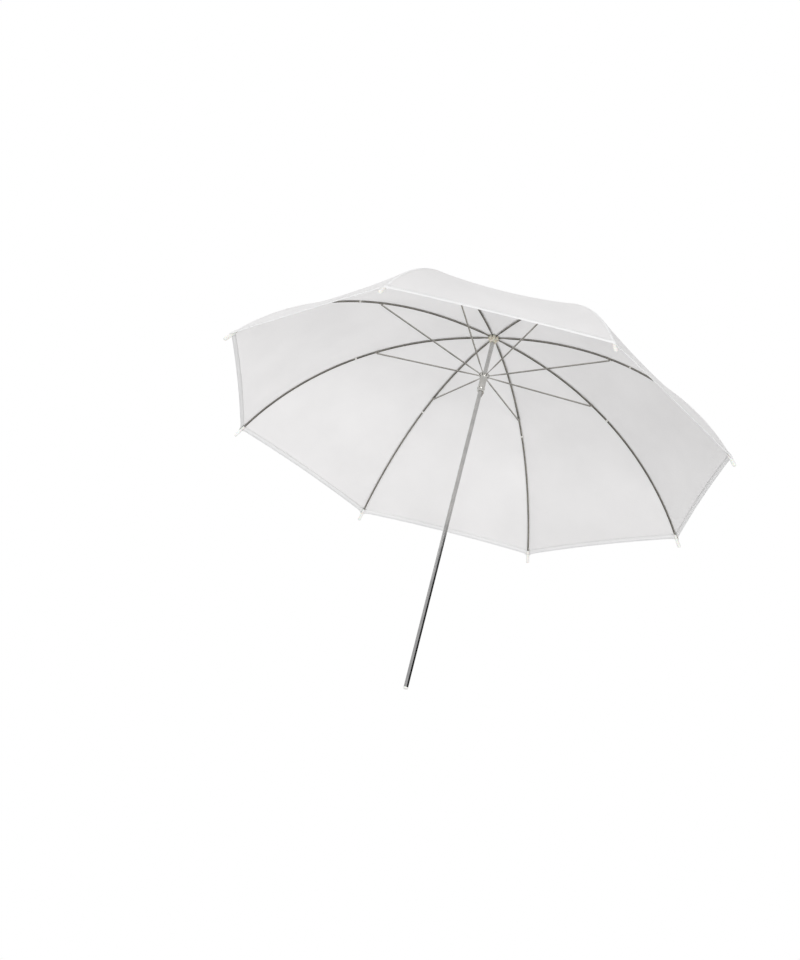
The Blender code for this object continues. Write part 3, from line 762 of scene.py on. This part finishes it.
def pucker(s, v, width):
    """Small gathers that the seam and the tip ties draw in the cloth, which fade towards mid-gore."""
    side = abs(v) * width
    ripples = RIPPLE_HEIGHT * math.sin(2 * math.pi * s / RIPPLE_LENGTH + 1.7 * math.sin(s * 37.0))
    seam_gather = ripples * math.exp(-side / 0.012)
    to_tip = cloth_edge(v) - s
    fan = math.sin(side / max(to_tip, 0.02) * 16.0)
    tip_gather = TIP_GATHER * fan * math.exp(-to_tip / 0.07) * math.exp(-side / 0.06)
    free = min(max((to_tip - HEM_WIDTH) / 0.02, 0.0), 1.0)
    return free * (seam_gather + tip_gather * min(1.0, side / 0.01)) * (1 - (2 * abs(v)) ** 2) ** 2


def mesh_piece(name, bm):
    """A new object from mesh code, at the origin."""
    mesh = bpy.data.meshes.new(name)
    bm.to_mesh(mesh)
    bm.free()
    piece = bpy.data.objects.new(name, mesh)
    bpy.context.scene.collection.objects.link(piece)
    return piece


def grid_piece(name, rows, uv_rows, closed=False):
    """A sheet from rows of points, or with closed a flat tube. UVs are in metres."""
    bm = bmesh.new()
    laid = [[bm.verts.new(point) for point in row] for row in rows]
    uv_layer = bm.loops.layers.uv.new("cut")
    spot = {}
    for row, uv_row in zip(laid, uv_rows):
        spot.update(zip(row, uv_row))
    count = len(laid[0])
    for one, two in zip(laid, laid[1:]):
        for j in range(count if closed else count - 1):
            i = (j + 1) % count
            bm.faces.new((one[j], two[j], two[i], one[i]))
    if closed:
        bmesh.ops.recalc_face_normals(bm, faces=bm.faces)
    for face in bm.faces:
        for loop in face.loops:
            loop[uv_layer].uv = spot[loop.vert]
    piece = mesh_piece(name, bm)
    piece.data.shade_smooth()
    return piece


WEAVE_SCALE = 1000 / 6.5  # a wave texture repeats every 2 pi / 20 / scale of a metre, here 2 mm


def taffeta(name, pale, deep, glow):
    """Woven nylon: light passes through it, and a plain weave crosses its surface.
    The real threads are 0.2 mm apart. They are drawn 2 mm apart, so that they can show."""
    made, tree, shader = start_material(
        name, Roughness=0.55, Specular_IOR_Level=0.3, Sheen_Weight=0.15
    )
    cut = add_node(tree, "ShaderNodeUVMap", uv_map="cut").outputs["UV"]
    place = add_node(tree, "ShaderNodeTexCoord").outputs["Object"]
    threads = {"Vector": cut, "Scale": WEAVE_SCALE}
    warp = add_node(tree, "ShaderNodeTexWave", threads, bands_direction="X")
    weft = add_node(tree, "ShaderNodeTexWave", threads, bands_direction="Y")
    weave = add_node(tree, "ShaderNodeMath", {
        0: warp.outputs["Fac"], 1: weft.outputs["Fac"],
    }, operation="MULTIPLY")
    slubs = add_node(tree, "ShaderNodeTexNoise", {"Vector": cut, "Scale": 420.0, "Detail": 2.0})
    clouds = add_node(tree, "ShaderNodeTexNoise", {"Vector": place, "Scale": 7.0, "Detail": 4.0})
    shades = add_node(tree, "ShaderNodeMath", {
        0: weave.outputs[0], 1: 0.25, 2: clouds.outputs["Fac"],
    }, operation="MULTIPLY_ADD")
    tint = add_node(tree, "ShaderNodeValToRGB", {"Fac": shades.outputs[0]})
    tint.color_ramp.elements[0].position = 0.3
    tint.color_ramp.elements[1].position = 0.75
    tint.color_ramp.elements[0].color = colour(deep)
    tint.color_ramp.elements[1].color = colour(pale)
    height = add_node(tree, "ShaderNodeMath", {
        0: slubs.outputs["Fac"], 1: 0.4, 2: weave.outputs[0],
    }, operation="MULTIPLY_ADD")
    relief = add_node(tree, "ShaderNodeBump", {
        "Height": height.outputs[0], "Strength": 0.3, "Distance": 0.0001,
    })
    tree.links.new(tint.outputs["Color"], shader.inputs["Base Color"])
    tree.links.new(relief.outputs["Normal"], shader.inputs["Normal"])
    through = add_node(tree, "ShaderNodeBsdfTranslucent", {
        "Color": tint.outputs["Color"], "Normal": relief.outputs["Normal"],
    })
    cloth = add_node(tree, "ShaderNodeMixShader", {
        0: glow, 1: shader.outputs[0], 2: through.outputs[0],
    })
    tree.links.new(cloth.outputs[0], tree.nodes["Material Output"].inputs["Surface"])
    return made


# White nylon taffeta: one thin layer, which passes nearly half of the light.
single_cloth = taffeta("white_nylon_taffeta", "#F2F1F1", "#EAE9E9", 0.42)
rows, spots = [], []
for i in range(CLOTH_ROWS + 1):
    row, spot = [], []
    for j in range(-CLOTH_COLUMNS, CLOTH_COLUMNS + 1):
        v = 0.5 * math.copysign((abs(j) / CLOTH_COLUMNS) ** 1.5, j)
        s = CLOTH_START + (cloth_edge(v) - CLOTH_START) * i / CLOTH_ROWS
        width = gore_width(s)
        row.append(cloth_at(s, v, pucker(s, v, width)))
        spot.append((v * width, s))
    rows.append(row)
    spots.append(spot)
sector = grid_piece("canopy_sector", rows, spots)
sector.data.materials.append(single_cloth)
sectors = copies_round(sector, "canopy_sector")

# Seams: each pair of gores is joined by a flat seam along the rib, four layers of cloth in a 7 mm
# band with a row of stitches near either edge.

SEAM_START = 0.003
SEAM_HALF = 0.0035
# The same cloth in several layers: whiter, and much less light comes through.
layered_cloth = taffeta("folded_white_nylon_taffeta", "#FCFCFC", "#F7F7F8", 0.2)


def band(name, path, lifts):
    """A flat closed band along rows of (s, side) pairs, standing lifts below and above the cloth."""
    rows, spots = [], []
    for across in path:
        inner = [cloth_beside(s, side, lifts[0]) for s, side in across]
        outer = [cloth_beside(s, side, lifts[1]) for s, side in reversed(across)]
        rows.append(inner + outer)
        spots.append([(side, s) for s, side in list(across) + list(reversed(across))])
    return grid_piece(name, rows, spots, closed=True)


seam_path = []
seam_end = cloth_edge(0) - HEM_WIDTH + 0.0005
for i in range(CLOTH_ROWS + 1):
    s = SEAM_START + (seam_end - SEAM_START) * i / CLOTH_ROWS
    half = SEAM_HALF * min(1.0, 0.3 + s / 0.03)
    seam_path.append([(s, half * share) for share in (-1.0, -0.5, 0.0, 0.5, 1.0)])
seam = band("gore_seam", seam_path, (-0.00018, 0.00024))
seam.data.materials.append(layered_cloth)
seams = copies_round(seam, "gore_seam")

# Hem: the cloth's edge is turned under twice and sewn down, which makes a 9 mm band from tip to tip,
# a little hollow between them. It widens where it is drawn over the tip caps.

HEM_STEPS = 24
hem_path = []
for i in range(-HEM_STEPS, HEM_STEPS + 1):
    v = 0.5 * math.copysign((abs(i) / HEM_STEPS) ** 1.3, i)
    edge = cloth_edge(v)
    flare = 0.0004 + 0.004 * math.exp(-((abs(v) * GORE_WIDTH / 0.007) ** 2))
    depths = (edge - HEM_WIDTH, edge - HEM_WIDTH / 2, edge + flare)
    hem_path.append([(s, v * gore_width(s)) for s in depths])
hem = band("canopy_hem", hem_path, (-0.00034, 0.00036))
hem.data.materials.append(layered_cloth)
hems = copies_round(hem, "canopy_hem")

# Stitching: white polyester thread, sewn by machine in stitches 3 mm long, which show on both faces
# of the seams and the hem.

STITCH = 0.0030
STITCH_START = 0.016
STITCH_HALF = 0.00022
SEWN_FROM_RIB = 0.0027
# Twisted polyester thread: white with a soft sheen, and painted shade between its strands, a grey in a
# fine noise.
thread, tree, shader = start_material("white_polyester_thread", Roughness=0.6, Sheen_Weight=0.3)
place = add_node(tree, "ShaderNodeTexCoord").outputs["Object"]
# Painted shade: a fine noise turns the white thread grey in places, for the shade in the hollows
# between its strands.
painted_strand_shade = add_node(tree, "ShaderNodeTexNoise", {"Vector": place, "Scale": 3000.0, "Detail": 2.0})
tint = add_node(tree, "ShaderNodeValToRGB", {"Fac": painted_strand_shade.outputs["Fac"]})
tint.color_ramp.elements[0].color = colour("#D5D4D0")
tint.color_ramp.elements[1].color = colour("#F2F1EC")
tree.links.new(tint.outputs["Color"], shader.inputs["Base Color"])


def stitched(name, rows, facing):
    """Pointed stitches, each between two points, which stand a little out of the cloth."""
    bm = bmesh.new()
    for one, two in rows:
        across = (two - one).cross(facing).normalized() * STITCH_HALF
        rise = facing * STITCH_HALF
        ends = [bm.verts.new(one), bm.verts.new(two)]
        ring = [bm.verts.new((one + two) / 2 + step) for step in (across, rise, -across, -rise)]
        for a in range(4):
            b = (a + 1) % 4
            bm.faces.new((ends[0], ring[a], ring[b]))
            bm.faces.new((ends[1], ring[b], ring[a]))
    piece = mesh_piece(name, bm)
    piece.data.materials.append(thread)
    return piece


on_seam, on_hem = [], []
for lift in (-0.00026, 0.00032):
    for side in (-SEWN_FROM_RIB, SEWN_FROM_RIB):
        for i in range(int((RIB_LENGTH - 2 * STITCH_START) / STITCH)):
            s = STITCH_START + STITCH * i
            ends = [cloth_beside(spot, side, lift) for spot in (s, s + STITCH * 0.78)]
            on_seam.append(ends)
    count = int(GORE_WIDTH / STITCH) // 2
    for i in range(-count, count):
        ends = []
        for part in (0.11, 0.89):
            v = (i + part) / count / 2
            ends.append(cloth_at(cloth_edge(v) - HEM_WIDTH + 0.0016, v, lift * 1.5))
        on_hem.append(ends)
seam_stitches = copies_round(stitched("seam_stitches", on_seam, rib_frame(0.3)[2]), "seam_stitches")
hem_stitches = copies_round(stitched("hem_stitches", on_hem, end_normal), "hem_stitches")

for k in range(RIB_COUNT):
    for piece in (sectors[k], hems[k], hem_stitches[k]):
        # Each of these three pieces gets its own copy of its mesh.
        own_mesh(piece)
    sewn = [hems[k], seams[k], seam_stitches[k], hem_stitches[k]]
    for piece in [sectors[k]] + sewn:
        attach(piece, f"rib_{k + 1}_arm")
    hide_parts(f"gore_{k + 1}")

# Rib ties: the cloth is tied to each rib halfway along it, with eight turns of the same thread round
# the rib and through the seam.

TIE_PLACE = 0.280
TIE_TURNS = 8
TIE_PITCH = 0.00054
tie_turns = []
for i in range(TIE_TURNS):
    deselect()
    bpy.ops.mesh.primitive_torus_add(
        major_radius=0.00225, minor_radius=0.00028, major_segments=24, minor_segments=8,
        rotation=(0, math.pi / 2, 0), location=(TIE_PLACE + TIE_PITCH * i, 0, 0.0002),
    )
    bpy.context.object.scale = (1.0, 0.92, 1.0)
    tie_turns.append(finished(bpy.context.object, "tie_turn"))
tie = joined(tie_turns)
lay_on_rib(tie)
tie.data.materials.append(thread)
for k, piece in enumerate(copies_round(tie, "rib_tie")):
    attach(piece, f"rib_{k + 1}_arm")

# Tip caps: moulded white polypropylene caps, pushed over the ribs' pegs. Each has a waist, where the
# corner of the canopy is tied on.

tip = turned("tip_cap", [
    (0.0014, 0.0006), (0.0022, 0.0006), (0.0026, 0.0012), (0.0027, 0.0060), (0.0024, 0.0075),
    (0.0024, 0.0090), (0.0029, 0.0115), (0.0032, 0.0160), (0.0033, 0.0200), (0.0033, 0.0240),
    (0.0031, 0.0258), (0.0024, 0.0268), (0.0012, 0.0270),
], 32)
tip.data.materials.append(white_plastic)
end_turn = end_along.to_track_quat("Z", "Y").to_matrix().to_4x4()
to_rib_end = Matrix.Translation(end_centre) @ end_turn
tip.data.transform(to_rib_end)
for k, piece in enumerate(copies_round(tip, "tip_cap")):
    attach(piece, f"rib_{k + 1}_arm")
    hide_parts(f"rib_tip_{k + 1}")

# Tip stitches: the corner of the cloth is tied into each tip cap's waist with three turns of the same
# thread.

tip_turns = []
for i in range(3):
    deselect()
    bpy.ops.mesh.primitive_torus_add(
        major_radius=0.00252, minor_radius=0.00022, major_segments=24, minor_segments=8,
        location=(0, 0, 0.0078 + 0.0004 * i),
    )
    tip_turns.append(finished(bpy.context.object, "tip_turn"))
tip_tie = joined(tip_turns)
tip_tie.data.transform(to_rib_end)
tip_tie.data.materials.append(thread)
for k, piece in enumerate(copies_round(tip_tie, "tip_stitch")):
    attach(piece, f"rib_{k + 1}_arm")

# Canopy centre, washer and ferrule: a reinforcing disc of several layers of the cloth over the notch,
# a moulded polypropylene washer on it, and a ferrule of the same plastic, pressed on the shaft's head
# to hold them down.

centre_low, centre_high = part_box("canopy_centre")
centre = turned("centre_patch", [
    (SHAFT_BORE, centre_low.z), (centre_high.x, centre_low.z), (centre_high.x, centre_high.z),
    (SHAFT_BORE, centre_high.z),
], hollow=True)
weave = centre.data.uv_layers.new(name="cut")
for loop in centre.data.loops:
    weave.data[loop.index].uv = centre.data.vertices[loop.vertex_index].co.xy
centre.data.materials.append(layered_cloth)
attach(centre, "shaft")
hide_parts("canopy_centre")

washer_low, washer_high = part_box("canopy_washer")
washer = turned("top_washer", [
    (SHAFT_BORE, washer_low.z), (washer_high.x - 0.0004, washer_low.z),
    (washer_high.x, washer_low.z + 0.0003), (washer_high.x - 0.0006, washer_high.z),
    (SHAFT_BORE, washer_high.z),
], 64, hollow=True)
washer.data.materials.append(white_plastic)
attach(washer, "shaft")
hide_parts("canopy_washer")

ferrule_low, ferrule_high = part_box("ferrule")
base = ferrule_low.z
tall = ferrule_high.z - base
wide = ferrule_high.x
ferrule = turned("top_ferrule", [
    (SHAFT_BORE, base), (wide - 0.0004, base), (wide, base + 0.0006), (wide - 0.0003, base + 0.0018),
    (wide - 0.0016, base + 0.0032), (0.0064, base + 0.0048), (0.0057, base + 0.0072),
    (0.0056, base + tall - 0.0060), (0.0051, base + tall - 0.0032), (0.0040, base + tall - 0.0012),
    (0.0024, base + tall - 0.0003), (0.0008, base + tall),
])
ferrule.data.materials.append(white_plastic)
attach(ferrule, "shaft")
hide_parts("ferrule")
